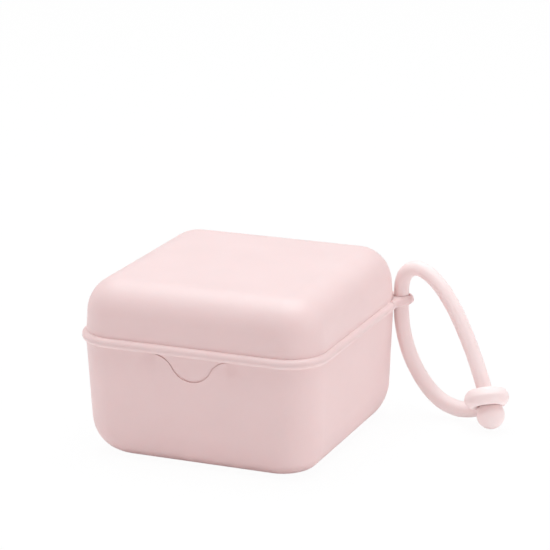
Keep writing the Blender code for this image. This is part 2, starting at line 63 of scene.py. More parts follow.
# The strap's middle line: out from the eye, away from the camera and up, in millimetres
STRAP_ROUTE = (
    (28.50, 2.40, 5.70),
    (26.84, 2.32, 5.06),
    (25.40, 2.28, 4.65),
    (23.93, 2.26, 4.29),
    (20.76, 2.15, 3.98),
    (17.31, 1.99, 4.65),
    (14.20, 1.78, 5.95),
    (11.54, 1.54, 7.95),
    (9.21, 1.28, 10.29),
    (7.23, 1.02, 12.94),
    (5.47, 0.76, 15.76),
    (3.92, 0.52, 18.72),
    (2.66, 0.31, 21.82),
    (1.67, 0.15, 25.05),
    (0.84, 0.04, 28.35),
    (0.35, 0.00, 31.20),
    (0.04, 0.00, 34.40),
    (-0.05, 0.00, 37.80),
    (-0.02, 0.00, 41.00),
    (0.12, 0.00, 44.30),
    (0.85, 0.00, 47.20),
    (2.25, 0.00, 49.22),
    (4.20, 0.00, 50.46),
    (6.20, 0.00, 50.82),
    (8.04, 0.00, 50.38),
    (9.66, 0.00, 49.64),
    (11.13, 0.00, 48.74),
    (13.70, 0.00, 46.65),
    (15.89, 0.00, 44.23),
    (17.83, 0.00, 41.59),
    (19.65, 0.02, 38.89),
    (21.25, 0.09, 36.05),
    (22.69, 0.20, 33.09),
    (24.08, 0.31, 30.12),
    (25.44, 0.40, 27.12),
    (26.74, 0.43, 24.09),
    (27.98, 0.36, 21.04),
    (29.16, 0.25, 18.03),
    (30.45, -0.12, 15.04),
    (31.44, -0.62, 13.03),
    (32.22, -1.00, 11.22),
    (33.10, -1.43, 9.16),
    (33.40, -1.58, 8.46),
)


# The ring's middle and axis and the ball's middle, in the same directions
RING_AT = (32.32, -1.05, 10.62)
RING_AXIS = (-0.341, 0.391, 0.871)
BALL_AT = (34.45, -2.2, 5.60)

# Soft boxes: name, place and size in metres, power in watts, tint
LAMPS = (
    ("top_light", (0.0, 0.1, 1.3), (1.3, 1.3), 19.6, (0.81, 0.99, 1.0)),
    ("front_light", (-0.75, -1.1, 0.95), (0.9, 0.9), 2.6, (1.0, 1.0, 1.0)),
    ("right_light", (1.4, -0.1, 0.5), (1.2, 0.9), 5.3, (1.0, 1.0, 1.0)),
    ("left_light", (-1.4, 0.0, 0.5), (1.2, 0.9), 2.7, (1.0, 1.0, 1.0)),
    ("back_light", (-0.6, 1.3, 0.42), (2.4, 0.8), 1.6, (0.94, 1.0, 1.0)),
)


class Value:
    """One output of a node. Python's operators add Math nodes, so 1 - mask works as it reads."""

    def __init__(self, maker, socket):
        self.maker = maker
        self.socket = socket

    def maths(self, operation, *values):
        return self.maker.node("ShaderNodeMath", {"operation": operation}, dict(enumerate(values)))

    def __add__(self, other):
        return self.maths("ADD", self, other)

    def __radd__(self, other):
        return self.maths("ADD", other, self)

    def __sub__(self, other):
        return self.maths("SUBTRACT", self, other)

    def __rsub__(self, other):
        return self.maths("SUBTRACT", other, self)

    def __mul__(self, other):
        return self.maths("MULTIPLY", self, other)

    def __rmul__(self, other):
        return self.maths("MULTIPLY", other, self)

    def __truediv__(self, other):
        return self.maths("DIVIDE", self, other)

    def __pow__(self, other):
        return self.maths("POWER", self, other)

    def __abs__(self):
        return self.maths("ABSOLUTE", self)

    def __floordiv__(self, other):
        return self.maths("FLOOR", self / other)

    def least(self, other):
        return self.maths("MINIMUM", self, other)

    def above(self, other):
        return self.maths("GREATER_THAN", self, other)

    def out(self, name):
        """Another output of the same node."""
        return Value(self.maker, self.socket.node.outputs[name])


class Maker:
    """Adds nodes to one tree."""

    def __init__(self, tree):
        self.tree = tree

    def node(self, kind, settings=None, inputs=None, output=0):
        """Add a node: its settings first, then the values or links of its sockets."""
        node = self.tree.nodes.new(kind)
        for name, value in (settings or {}).items():
            if name == "stops":
                self.set_stops(node.color_ramp, value)
            else:
                setattr(node, name, value)
        for name, value in (inputs or {}).items():
            socket = node.inputs[name]
            if isinstance(value, Value):
                self.tree.links.new(value.socket, socket)
            else:
                socket.default_value = value
        return Value(self, node.outputs[output]) if node.outputs else None

    @staticmethod
    def set_stops(ramp, stops):
        while len(ramp.elements) < len(stops):
            ramp.elements.new(1.0)
        for element, (place, colour) in zip(ramp.elements, stops):
            element.position = place
            element.color = colour


def length(name, description, millimetres):
    return bpy.props.FloatProperty(
        name=name, description=description, default=millimetres * MM, unit="LENGTH", precision=5
    )


def share(name, description, default):
    return bpy.props.FloatProperty(name=name, description=description, default=default, min=0, max=1)


def count(name, description, default):
    return bpy.props.IntProperty(name=name, description=description, default=default, min=1)


def colour(name, description, default):
    return bpy.props.FloatVectorProperty(
        name=name, description=description, default=default, subtype="COLOR", size=3, min=0, max=1
    )


class ShellSizes(bpy.types.PropertyGroup):
    """The two moulded shells."""

    base_half: length("Base half width", "Middle of the box to the base wall under its shoulder", 40.43)
    base_height: length("Base height", "Underside to the base's rim", 39.16)
    base_draft: length("Base draft", "How far the base wall draws in towards its bottom curve", 1.0)
    base_corner: length("Base corner radius", "Corner radius at the top of the base wall", 11.5)
    corner_shrink: share("Corner shrink", "What the corner radius loses of each step inwards", 0.336)
    base_curve_width: length("Bottom round width", "Round at the bottom edge, along the floor", 8.7)
    base_curve_rise: length("Bottom round rise", "Round at the bottom edge, up the wall", 13.06)
    shoulder_drop: length("Lower bead height", "Height of the base's half of the bead", 1.56)
    lid_half: length("Lid half width", "Middle of the box to the lid wall at its bead", 40.6)
    lid_draft: length("Lid draft", "How far the lid wall draws in towards its top curve", 0.45)
    lid_height: length("Lid height", "The lid's rim to its flat top", 18.67)
    lid_corner: length("Lid corner radius", "Corner radius of the lid wall", 12.5)
    lid_curve_width: length("Top round width", "Round at the lid's top edge, along the top", 10.67)
    lid_curve_drop: length("Top round drop", "Round at the lid's top edge, down the wall", 11.72)
    seam: length("Seam", "Gap between the two rims when the lid is shut", 0.02)
    bead_height: length("Upper bead height", "Height of the lid's half of the bead", 1.51)
    bead_reach: length("Bead reach", "How far the bead stands out from the lid wall", 1.4)
    waist: length("Waist", "How far the lid wall draws in just above the bead", 0.22)
    waist_rise: length("Waist rise", "Height over which the lid wall draws in", 2.2)
    seam_edge: length("Seam edge", "Round on both edges of the seam", 0.045)
    base_wall: length("Base wall", "Wall and floor of the base", 2.0)
    lid_wall: length("Lid wall", "Wall of the lid", 1.6)
    lid_roof: length("Lid roof", "Top of the lid", 1.8)
    lip_rise: length("Lip rise", "How far the lip stands up inside the lid", 2.89)
    lip_wall: length("Lip wall", "Thickness of the lip", 1.1)
    lip_gap: length("Lip gap", "Clearance between the lip and the lid", 0.3)
    rib_half: length("Rib half length", "Half the length of the snap rib on the lip's front", 12.0)
    rib_radius: length("Rib radius", "Roundness of the snap rib", 0.6)
    rib_reach: length("Rib reach", "How far the snap rib stands out from the lip", 0.2)
    rib_rise: length("Rib rise", "The base's rim to the middle of the snap rib", 1.5)
    rib_gap: length("Rib gap", "Clearance of the lid's groove round the snap rib", 0.2)
    corner_steps: count("Corner steps", "Faces round each corner", 40)
    side_steps: count("Side steps", "Faces along each straight side", 14)
    curve_steps: count("Round steps", "Faces over the rounds at the top and the bottom", 28)


class TabSizes(bpy.types.PropertyGroup):
    """The thumb tab in the front wall."""

    half_width: length("Tab half width", "Middle of the tab to the tip of its flare", 13.0)
    drop: length("Tab drop", "Top to bottom of the tab", 8.0)
    flare: length("Tab flare", "Radius of the flares at both sides", 7.1)
    groove_width: length("Groove width", "Groove round the tab", 0.26)
    groove_depth: length("Groove depth", "How deep the groove round the tab is", 0.5)
    sink: length("Tab sink", "How far the tab's lower end lies behind the wall", 0.3)
    edge: length("Tab edge", "Round on the tab's edge, across its face", 1.3)
    edge_drop: length("Tab edge drop", "Round on the tab's edge, into the groove", 0.13)
    rim: length("Groove edge", "Round on the groove's outer edge", 0.1)


class StrapSizes(bpy.types.PropertyGroup):
    """The eye and the silicone strap."""

    cord: length("Cord", "Diameter of the strap's cord", 5.0)
    bearing: bpy.props.FloatProperty(
        name="Bearing",
        description="Where the strap points, from +X towards +Y",
        default=math.radians(-8.5),
        subtype="ANGLE",
    )
    eye_x: length("Eye across", "The eye's axis, from the middle of the box along X", 41.2)
    eye_y: length("Eye back", "The eye's axis, from the middle of the box along Y", 36.7)
    eye_radius: length("Eye radius", "Outside of the eye", 4.07)
    eye_gap: length("Eye gap", "Clearance of the cord in the eye", 0.15)
    eye_edge: length("Eye edge", "Round on the edges of the eye's hole", 0.2)
    eye_rise: length("Eye rise", "The seam's middle to the eye's top", 1.9)
    root_rise: length("Root rise", "The seam's middle to the root's top beside the bead", 1.5)
    eye_drop: length("Eye drop", "The seam's middle to the eye's underside", 1.2)
    eye_fillet: length("Eye fillet", "Hollow between the bead and the eye, in plan", 3.0)
    root_start: length("Root start", "Corner's centre to where the hollow starts", 0.5)
    root_gap: length("Root gap", "Clearance between the eye's root and the lid", 0.07)
    root_inner: length("Root depth", "Corner's centre to the root's inner end", 11.4)
    ring: length("Ring radius", "Outside of the strap's ring", 7.2)
    ring_section: length("Ring section", "Thickness of the ring across its hole", 4.45)
    ring_height: length("Ring height", "Thickness of the ring along its hole", 5.8)
    ball: length("Ball radius", "The ball at the strap's end", 4.6)
    parting: length("Parting line", "Crease that the mould leaves along the cord", 0.16)
    ring_parting: length("Ring's parting line", "Crease that the mould leaves round the ring", 0.2)


class Finishes(bpy.types.PropertyGroup):
    """Colours of the plastic and the silicone."""

    shell: colour("Shell", "Pale pink plastic of the two shells", (0.88, 0.685, 0.677))
    silicone: colour("Silicone", "Pale pink silicone of the strap", (0.99, 0.835, 0.825))


class StageSizes(bpy.types.PropertyGroup):
    """Camera, floor and surround."""

    lens: bpy.props.FloatProperty(name="Lens", description="Focal length on a 36 mm sensor", default=163.64)
    distance: length("Distance", "Camera to the middle of the seam", 808.094)
    azimuth: bpy.props.FloatProperty(name="Azimuth", description="Camera's bearing in degrees", default=23.0148)
    elevation: bpy.props.FloatProperty(name="Elevation", description="Camera's height in degrees", default=16.3969)
    roll: bpy.props.FloatProperty(name="Roll", description="Camera's roll in degrees", default=-0.5415)
    across: length("Across", "Camera's shift to the right", 10.483)
    raised: length("Raised", "Camera's shift upwards", 14.525)
    aim: length("Aim", "Height of the point that the camera is turned towards", 38.17)
    floor: colour("Floor", "Pale paint of the floor", (0.9, 0.9, 0.9))
    glow: share("Floor glow", "Share of plain white in the floor as the camera sees it", 0.95)
    surround: bpy.props.FloatProperty(name="Surround", description="Strength of the even light all round", default=0.265)
    floor_glow: share("Floor light", "Even light that the floor gives off", 0.071)
    surround_tint: colour("Surround tint", "Colour of the even light all round", (1.0, 0.52, 0.52))


def material_of(name):
    """A new material and a maker for its tree, with only its output in it."""
    material = bpy.data.materials.new(name)
    material.use_nodes = True
    material.node_tree.nodes.clear()
    return material, Maker(material.node_tree)


def moulded_material(name, tint, roughness, grain, depth, subsurface):
    """Matt moulded surface: a fine even grain, a faint cloudiness and slightly uneven gloss."""
    material, make = material_of(name)
    place = make.node("ShaderNodeTexCoord").out("Object")
    fine = make.node(
        "ShaderNodeTexNoise",
        {"noise_dimensions": "3D"},
        {"Vector": place, "Scale": 1 / grain, "Detail": 3.0, "Roughness": 0.6},
    )
    cloud = make.node(
        "ShaderNodeTexNoise", {}, {"Vector": place, "Scale": 90.0, "Detail": 2.0, "Roughness": 0.5}
    )
    shade = make.node(
        "ShaderNodeValToRGB",
        {"stops": ((0.3, (*(0.985 * part for part in tint), 1)), (0.7, (*(min(1, 1.012 * part) for part in tint), 1)))},
        {"Fac": cloud * 0.7 + fine * 0.3},
    )
    bump = make.node(
        "ShaderNodeBump", {}, {"Strength": 0.35, "Distance": depth, "Height": fine}
    )
    shader = make.node(
        "ShaderNodeBsdfPrincipled",
        {"subsurface_method": "RANDOM_WALK"},
        {
            "Base Color": shade,
            "Roughness": roughness + (cloud - 0.5) * 0.12 + (fine - 0.5) * 0.08,
            "IOR": 1.49,
            "Normal": bump,
            "Subsurface Weight": subsurface,
            "Subsurface Radius": (1.0, 0.45, 0.4),
            "Subsurface Scale": 0.0012,
        },
    )
    make.node("ShaderNodeOutputMaterial", {}, {"Surface": shader})
    return material


def floor_material(stage):
    """Pale paint that a white glow lifts for the camera alone, so that only the shadow's core stays."""
    material, make = material_of("floor_white")
    seen = make.node("ShaderNodeLightPath").out("Is Camera Ray")
    paint = make.node("ShaderNodeBsdfDiffuse", {}, {"Color": (*stage.floor, 1)})
    white = make.node("ShaderNodeEmission", {}, {"Color": (1, 1, 1, 1), "Strength": 1.0})
    light = make.node("ShaderNodeEmission", {}, {"Color": (1, 1, 1, 1), "Strength": stage.floor_glow})
    lit = make.node("ShaderNodeAddShader", {}, {0: paint, 1: light})
    mixed = make.node("ShaderNodeMixShader", {}, {0: seen * stage.glow, 1: lit, 2: white})
    make.node("ShaderNodeOutputMaterial", {}, {"Surface": mixed})
    return material


def arc(radius_x, radius_z, start, end, steps):
    """Points of an elliptic arc about zero, at equal angles in degrees."""
    points = []
    for index in range(steps + 1):
        angle = math.radians(start + (end - start) * index / steps)
        points.append((radius_x * math.cos(angle), radius_z * math.sin(angle)))
    return points


def rounded(path, places, radius, steps=4):
    """Round the named bends of a path of (out, up) points."""
    smooth = []
    for index, point in enumerate(path):
        if index not in places:
            smooth.append(point)
            continue
        here = Vector(point)
        before = (Vector(path[index - 1]) - here)
        after = (Vector(path[index + 1]) - here)
        cut = min(radius, before.length * 0.45, after.length * 0.45)
        first = here + before.normalized() * cut
        last = here + after.normalized() * cut
        for step in range(steps + 1):
            t = step / steps
            smooth.append(tuple(first * (1 - t) ** 2 + here * 2 * t * (1 - t) + last * t ** 2))
    return smooth


def shell_tree():
    """Loft of a square plan with round corners: a profile point holds half width, corner radius and height."""
    tree = bpy.data.node_groups.new("moulded_shell", "GeometryNodeTree")
    for name, kind in (
        ("Profile", "NodeSocketGeometry"),
        ("Corner steps", "NodeSocketInt"),
        ("Side steps", "NodeSocketInt"),
        ("Material", "NodeSocketMaterial"),
    ):
        tree.interface.new_socket(name=name, in_out="INPUT", socket_type=kind)
    tree.interface.new_socket(name="Shell", in_out="OUTPUT", socket_type="NodeSocketGeometry")
    make = Maker(tree)
    given = make.node("NodeGroupInput")
    profile, corner, side = given.out("Profile"), given.out("Corner steps"), given.out("Side steps")
    stations = make.node("GeometryNodeAttributeDomainSize", {"component": "MESH"}, {"Geometry": profile})
    per_quarter = corner + side
    columns = per_quarter * 4 + 1
    grid = make.node(
        "GeometryNodeMeshGrid",
        {},
        {"Size X": 1.0, "Size Y": 1.0, "Vertices X": stations.out("Point Count"), "Vertices Y": columns},
    )
    index = make.node("GeometryNodeInputIndex")
    row = (index + 0.5) // columns
    column = index - row * columns
    quarter = (column + 0.5) // per_quarter
    step = column - quarter * per_quarter
    station = make.node(
        "GeometryNodeSampleIndex",
        {"data_type": "FLOAT_VECTOR", "domain": "POINT"},
        {"Geometry": profile, "Value": make.node("GeometryNodeInputPosition"), "Index": row},
    )
    parts = make.node("ShaderNodeSeparateXYZ", {}, {0: station})
    half, radius, height = parts.out("X"), parts.out("Y"), parts.out("Z")
    centre = half - radius
    angle = step.least(corner) / corner * (math.pi / 2)
    along = (step - corner) / side
    on_side = step.above(corner + 0.5)
    corner_x = centre + radius * angle.maths("COSINE", angle)
    corner_y = centre + radius * angle.maths("SINE", angle)
    x = corner_x * (1 - on_side) + centre * (1 - along * 2) * on_side
    y = corner_y * (1 - on_side) + half * on_side
    plan = make.node("ShaderNodeCombineXYZ", {}, {"X": x, "Y": y, "Z": height})
    turned_plan = make.node(
        "ShaderNodeVectorRotate",
        {"rotation_type": "Z_AXIS"},
        {"Vector": plan, "Angle": quarter * (math.pi / 2)},
    )
    placed = make.node("GeometryNodeSetPosition", {}, {"Geometry": grid, "Position": turned_plan})
    merged = make.node("GeometryNodeMergeByDistance", {}, {"Geometry": placed, "Distance": 1e-7})
    realized = make.node("GeometryNodeRealizeInstances", {}, {"Geometry": merged})
    finished = make.node(
        "GeometryNodeSetMaterial", {}, {"Geometry": realized, "Material": given.out("Material")}
    )
    make.node("NodeGroupOutput", {}, {0: finished})
    return tree


def cord_tree():
    """Tube along a path, with the fine ridge of the mould's parting line on both sides."""
    tree = bpy.data.node_groups.new("moulded_cord", "GeometryNodeTree")
    for name, kind in (
        ("Path", "NodeSocketGeometry"),
        ("Radius", "NodeSocketFloat"),
        ("Ridge", "NodeSocketFloat"),
        ("Steps", "NodeSocketInt"),
        ("Material", "NodeSocketMaterial"),
    ):
        tree.interface.new_socket(name=name, in_out="INPUT", socket_type=kind)
    tree.interface.new_socket(name="Cord", in_out="OUTPUT", socket_type="NodeSocketGeometry")
    make = Maker(tree)
    given = make.node("NodeGroupInput")
    radius = given.out("Radius")
    level = make.node("GeometryNodeSetCurveNormal", {}, {"Curve": given.out("Path")})
    level.socket.node.mode = "Z_UP"
    along = make.node("GeometryNodeSplineParameter").out("Factor")
    turn = (1 - along * 3.2).maths("MAXIMUM", 1 - along * 3.2, 0.0) * (math.pi / 2)
    level = make.node("GeometryNodeSetCurveTilt", {}, {"Curve": level, "Tilt": turn})
    ring = make.node("GeometryNodeCurvePrimitiveCircle", {}, {"Resolution": given.out("Steps"), "Radius": radius})
    here = make.node("GeometryNodeInputPosition")
    across = make.node("ShaderNodeSeparateXYZ", {}, {0: here}).out("Y")
    side = abs(across / radius).least(1.0)
    angle = side.maths("ARCCOSINE", side)
    crest = angle.maths("MAXIMUM", 1 - angle / math.radians(28), 0.0)
    lift = make.node(
        "ShaderNodeVectorMath",
        {"operation": "SCALE"},
        {0: here, "Scale": crest * given.out("Ridge") / radius},
    )
    section = make.node("GeometryNodeSetPosition", {}, {"Geometry": ring, "Offset": lift})
    tube = make.node(
        "GeometryNodeCurveToMesh", {}, {"Curve": level, "Profile Curve": section, "Fill Caps": True}
    )
    realized = make.node("GeometryNodeRealizeInstances", {}, {"Geometry": tube})
    finished = make.node(
        "GeometryNodeSetMaterial", {}, {"Geometry": realized, "Material": given.out("Material")}
    )
    make.node("NodeGroupOutput", {}, {0: finished})
    return tree


def grown(tree, source, values):
    """Run a node tree on an object with these inputs, and return its result as a plain mesh."""
    modifier = source.modifiers.new(tree.name, "NODES")
    modifier.node_group = tree
    sockets = {item.name: item.identifier for item in tree.interface.items_tree if item.in_out == "INPUT"}
    for name, value in values.items():
        modifier[sockets[name]] = value
    graph = bpy.context.evaluated_depsgraph_get()
    mesh = bpy.data.meshes.new_from_object(source.evaluated_get(graph), depsgraph=graph)
    data = source.data
    bpy.data.objects.remove(source, do_unlink=True)
    if isinstance(data, bpy.types.Curve):
        bpy.data.curves.remove(data)
    else:
        bpy.data.meshes.remove(data)
    return mesh


def linked(name, data):
    item = bpy.data.objects.new(name, data)
    bpy.context.scene.collection.objects.link(item)
    return item


def station_line(stations):
    """A line of points, each one a station of a shell's profile."""
    mesh = bpy.data.meshes.new("profile")
    edges = [(index, index + 1) for index in range(len(stations) - 1)]
    mesh.from_pydata(stations, edges, [])
    return linked("profile", mesh)


def capped(station, shares):
    """Smaller and smaller copies of a station's plan, for a flat face."""
    half, radius, height = station
    return [(half * part, radius * part, height) for part in shares]


def closed_shape(mesh):
    """A bmesh of the mesh with doubles merged, its open ends filled and its faces outwards."""
    shape = bmesh.new()
    shape.from_mesh(mesh)
    bmesh.ops.remove_doubles(shape, verts=shape.verts, dist=1e-7)
    rims = [edge for edge in shape.edges if edge.is_boundary]
    bmesh.ops.holes_fill(shape, edges=rims, sides=0)
    bmesh.ops.recalc_face_normals(shape, faces=shape.faces)
    return shape


def smooth_object(name, shape, material, angle=35):
    """Turn a bmesh into an object with smooth shading and crisp edges past an angle."""
    mesh = bpy.data.meshes.new(name)
    shape.to_mesh(mesh)
    shape.free()
    mesh.materials.clear()
    mesh.materials.append(material)
    mesh.shade_smooth()
    mesh.set_sharp_from_angle(angle=math.radians(angle))
    return linked(name, mesh)


def baked(item, name, material, angle=35):
    """Apply an object's modifiers and place to a new object's mesh, and drop the old one."""
    graph = bpy.context.evaluated_depsgraph_get()
    mesh = bpy.data.meshes.new_from_object(item.evaluated_get(graph), depsgraph=graph)
    mesh.transform(item.matrix_world)
    old = item.data
    bpy.data.objects.remove(item, do_unlink=True)
    bpy.data.meshes.remove(old)
    mesh.materials.clear()
    mesh.materials.append(material)
    mesh.shade_smooth()
    mesh.set_sharp_from_angle(angle=math.radians(angle))
    return linked(name, mesh)


def combine(item, other, operation):
    modifier = item.modifiers.new(operation.title(), "BOOLEAN")
    modifier.operation = operation
    modifier.solver = "EXACT"
    modifier.object = other
    return item


def turned(name, profile, steps, place, closed=True):
    """Turn (radius, height) points about an upright axis."""
    shape = bmesh.new()
    points = [shape.verts.new((radius, 0, height)) for radius, height in profile]
    edges = [shape.edges.new(pair) for pair in zip(points[:-1], points[1:])]
    if closed:
        edges.append(shape.edges.new((points[-1], points[0])))
    bmesh.ops.spin(
        shape, geom=points + edges, cent=(0, 0, 0), axis=(0, 0, 1), angle=2 * math.pi, steps=steps
    )
    bmesh.ops.remove_doubles(shape, verts=shape.verts, dist=1e-7)
    bmesh.ops.recalc_face_normals(shape, faces=shape.faces)
    bmesh.ops.translate(shape, verts=shape.verts, vec=place)
    mesh = bpy.data.meshes.new(name)
    shape.to_mesh(mesh)
    shape.free()
    return linked(name, mesh)


def block(name, low, high):
    """A box from its lowest to its highest corner."""
    shape = bmesh.new()
    bmesh.ops.create_cube(shape, size=1)
    size = Vector(high) - Vector(low)
    bmesh.ops.scale(shape, vec=size, verts=shape.verts)
    bmesh.ops.translate(shape, verts=shape.verts, vec=(Vector(low) + Vector(high)) / 2)
    mesh = bpy.data.meshes.new(name)
    shape.to_mesh(mesh)
    shape.free()
    return linked(name, mesh)


def drop(*items):
    for item in items:
        mesh = item.data
        bpy.data.objects.remove(item, do_unlink=True)
        bpy.data.meshes.remove(mesh)


class Shells:
    """Stations of both shells, from the sizes in the panel."""

    def __init__(self, sizes):
        self.sizes = sizes
        self.centre = sizes.lid_half - sizes.lid_corner
        self.rim = sizes.base_height + sizes.seam
        self.top = self.rim + sizes.lid_height
        self.bead_half = sizes.lid_half + sizes.bead_reach
        self.shoulder = sizes.base_height - sizes.shoulder_drop
        self.low_half = sizes.base_half - sizes.base_draft
        self.lid_inner = sizes.lid_half - sizes.lid_wall
        self.lip_half = self.lid_inner - sizes.lip_gap
        self.lip_top = sizes.base_height + sizes.lip_rise

    def base_radius(self, half):
        return self.sizes.base_corner - self.sizes.corner_shrink * (self.sizes.base_half - half)

    def lid_radius(self, half):
        return half - self.centre

    def bead_radius(self, half):
        """Corner radius of the base's half of the bead, from the wall out to the rim."""
        part = max(0.0, (half - self.sizes.base_half) / (self.bead_half - self.sizes.base_half))
        return self.base_radius(min(half, self.sizes.base_half)) * (1 - part) + self.lid_radius(self.bead_half) * part

    def wall_half(self, height):
        """Half width of the base wall at a height between its bottom curve and its shoulder."""
        part = (self.shoulder - height) / (self.shoulder - self.sizes.base_curve_rise)
        return self.sizes.base_half - self.sizes.base_draft * part

    def base_stations(self, wall_rows):
        """The base from the middle of its underside over its rim and lip to the middle of its floor."""
        s = self.sizes
        stations = []
        for x, z in arc(s.base_curve_width, s.base_curve_rise, -90, 0, s.curve_steps):
            half = self.low_half - s.base_curve_width + x
            stations.append((half, self.base_radius(half), s.base_curve_rise + z))
        stations = capped(stations[0], (0.08, 0.5, 0.97)) + stations
        for height in wall_rows:
            half = self.wall_half(height)
            stations.append((half, self.base_radius(half), height))
        bead = arc(self.bead_half - s.base_half, s.shoulder_drop, -90, 0, 12)
        outer = [(self.wall_half(wall_rows[-1]), wall_rows[-1])]
        outer += [(s.base_half + x, s.base_height + z) for x, z in bead] + [(self.lip_half, s.base_height)]
        for half, height in rounded(outer, (1, len(bead)), s.seam_edge, 4)[1:-1]:
            stations.append((half, self.bead_radius(half), height))
        stations.append((self.lip_half + 0.2 * MM, self.lid_radius(self.lip_half + 0.2 * MM), s.base_height))
        inner = self.lip_half - s.lip_wall
        root = s.base_height - 1.4 * MM
        slope = s.base_half - s.base_wall - inner
        deep = self.wall_half(root - slope) - s.base_wall
        lip = [
            (self.lip_half + 0.2 * MM, s.base_height),
            (self.lip_half, s.base_height),
            (self.lip_half, self.lip_top),
            (inner, self.lip_top),
            (inner, root),
            (deep, root - slope),
        ]
        for half, height in rounded(lip, (1, 2, 3), 0.4 * MM)[1:-1]:
            stations.append((half, self.lid_radius(half), height))
        inside = [(deep, self.base_radius(deep + s.base_wall) - s.base_wall, root - slope)]
        width = s.base_curve_width - s.base_wall
        rise = s.base_curve_rise - s.base_wall
        for x, z in arc(width, rise, 0, -90, s.curve_steps // 2):
            half = self.low_half - s.base_wall - width + x
            inside.append((half, self.base_radius(half + s.base_wall) - s.base_wall, s.base_curve_rise + z))
        return stations + inside + capped(inside[-1], (0.97, 0.5, 0.08))

    def lid_stations(self):
        """The lid from the middle of its top over its bead and rim to the middle of its roof."""
        s = self.sizes
        high = self.top - s.lid_curve_drop
        path = []
        for x, z in arc(s.lid_curve_width, s.lid_curve_drop, 90, 0, s.curve_steps):
            path.append((s.lid_half - s.lid_draft - s.lid_curve_width + x, high + z))
        bead_top = self.rim + s.bead_height
        for step in range(9, 0, -1):
            up = step / 9
            out = s.lid_half - s.lid_draft * up * s.waist_rise / (high - bead_top) - s.waist * (1 - up) ** 2
            path.append((out, bead_top + s.waist_rise * up))
        root = s.lid_half - s.waist
        reach = s.bead_reach + s.waist
        bead = [(root + x, self.rim + z) for x, z in arc(reach, s.bead_height, 90, 0, 14)]
        rim = [path[-1], *bead, (self.lid_inner + 0.4 * MM, self.rim)]
        path = path[:-1] + rounded(rim, (1, len(bead)), s.seam_edge, 4)[:-1]
        rim = [path[-1], (self.lid_inner, self.rim), (self.lid_inner, high)]
        path += rounded(rim, (1,), 0.4 * MM, 3)[1:-1]
        width = s.lid_curve_width - s.lid_wall
        rise = s.lid_curve_drop - s.lid_roof
        for x, z in arc(width, rise, 0, 90, s.curve_steps // 2):
            path.append((s.lid_half - s.lid_draft - s.lid_wall - width + x, high + z))
        stations = [(half, self.lid_radius(half), height) for half, height in path]
        stations = capped(stations[0], (0.08, 0.5, 0.97)) + stations
        return stations + capped(stations[-1], (0.97, 0.5, 0.08))

    def loft(self, stations, material):
        values = {
            "Corner steps": self.sizes.corner_steps,
            "Side steps": self.sizes.side_steps,
            "Material": material,
        }
        return closed_shape(grown(shell_tree(), station_line(stations), values))


def tab_outline(tab):
    """Half of the tab's outline, from the tip of the right flare to the bottom: (across, drop) points
    with the direction that points into the wall."""
    bottom = (tab.half_width ** 2 + tab.drop ** 2) / (2 * tab.drop) - tab.flare
    meet = math.degrees(math.atan2(tab.flare + bottom - tab.drop, tab.half_width))
    points = []
    for x, y in arc(tab.flare, tab.flare, 90, 180 - meet, 26):
        points.append((Vector((tab.half_width + x, y - tab.flare)), Vector((-x, -y)).normalized()))
    for x, y in arc(bottom, bottom, -meet, -90, 26)[1:]:
        points.append((Vector((x, bottom - tab.drop + y)), Vector((x, y)).normalized()))
    mirrored = [(Vector((-p.x, p.y)), Vector((-n.x, n.y))) for p, n in reversed(points[:-1])]
    return points + mirrored


